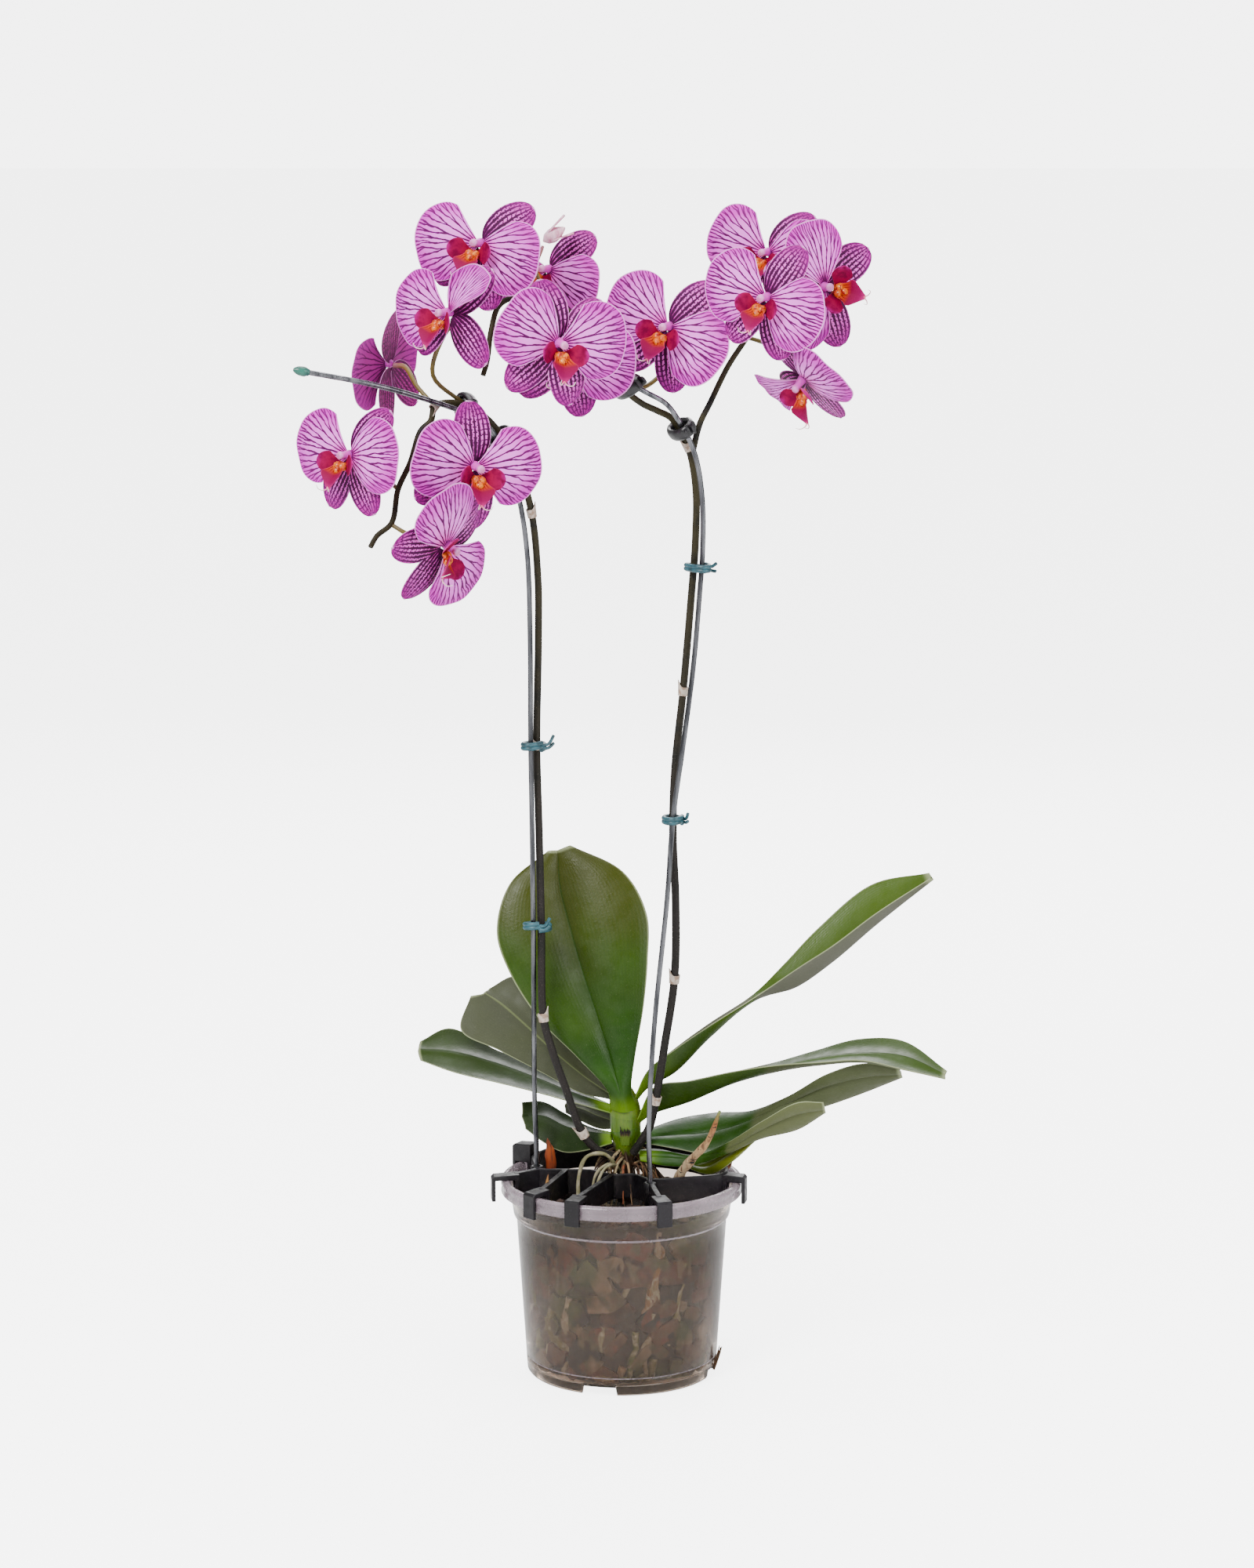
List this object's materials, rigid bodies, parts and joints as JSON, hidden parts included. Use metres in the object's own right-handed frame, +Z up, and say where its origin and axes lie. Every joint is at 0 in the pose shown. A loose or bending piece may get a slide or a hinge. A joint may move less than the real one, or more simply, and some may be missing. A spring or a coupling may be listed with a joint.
{
  "type": "potted orchid",
  "caption": "Striped moth orchid in a clear nursery pot, with arching flower spikes tied to bent wires that stand in a dark support ring.",
  "frame": {"origin": "on the ground, under the middle of the plant's extents", "axes": "+Z up, -Y is the front that most blooms face, +X to the viewer's right"},
  "size_m": [0.3256, 0.1894, 0.6026],
  "materials": {
    "pot": "clear, thin and scratched, with a milky rim",
    "medium": "damp bark chips, moss and dead roots",
    "ring": "satin dark aubergine",
    "crown": "smooth yellow-green leaf sheaths",
    "root": "silvery velamen",
    "husk": "dry and papery",
    "leaf": "waxy, grey-green underneath",
    "petal": "lilac with purple veins, soft sheen",
    "lip": "crimson with an orange callus",
    "bud": "pale pink",
    "stem": "dark green-brown, beige at its nodes",
    "wire": "drawn wire",
    "cap": "moulded, green",
    "tie": "teal plastic-covered twist wire",
    "clip": "black"
  },
  "bodies": {
    "root": {"pot": "pot", "potting_medium": "medium", "support_ring": "ring", "crown": "crown", "aerial_roots": "root", "old_stub": "husk", "leaf_front_upright": "leaf", "leaf_right_upper": "leaf", "leaf_right_middle": "leaf", "leaf_right_lower": "leaf", "leaf_right_small": "leaf", "leaf_right_ring": "leaf", "leaf_left_upper": "leaf", "leaf_left_long": "leaf", "leaf_left_lower": "leaf", "leaf_left_inner": "leaf", "bloom_01_tepals": "petal", "bloom_01_lip": "lip", "bloom_02_tepals": "petal", "bloom_02_lip": "lip", "bloom_03_tepals": "petal", "bloom_03_lip": "lip", "bloom_04_tepals": "petal", "bloom_04_lip": "lip", "bloom_05_tepals": "petal", "bloom_05_lip": "lip", "bloom_06_tepals": "petal", "bloom_06_lip": "lip", "bloom_07_tepals": "petal", "bloom_07_lip": "lip", "bloom_08_tepals": "petal", "bloom_08_lip": "lip", "bloom_09_tepals": "petal", "bloom_09_lip": "lip", "bloom_10_tepals": "petal", "bloom_10_lip": "lip", "bloom_11_tepals": "petal", "bloom_11_lip": "lip", "bloom_12_tepals": "petal", "bloom_12_lip": "lip", "bloom_13_tepals": "petal", "bloom_13_lip": "lip", "bloom_14_tepals": "petal", "bloom_14_lip": "lip", "bud": "bud", "spike_left": "stem", "spike_right": "stem", "wire_left": "wire", "wire_right": "wire", "wire_cap": "cap", "tie_1": "tie", "tie_2": "tie", "tie_3": "tie", "tie_4": "tie", "clip_1": "clip", "clip_2": "clip", "clip_3": "clip", "clip_4": "clip"}
  },
  "joints": []
}
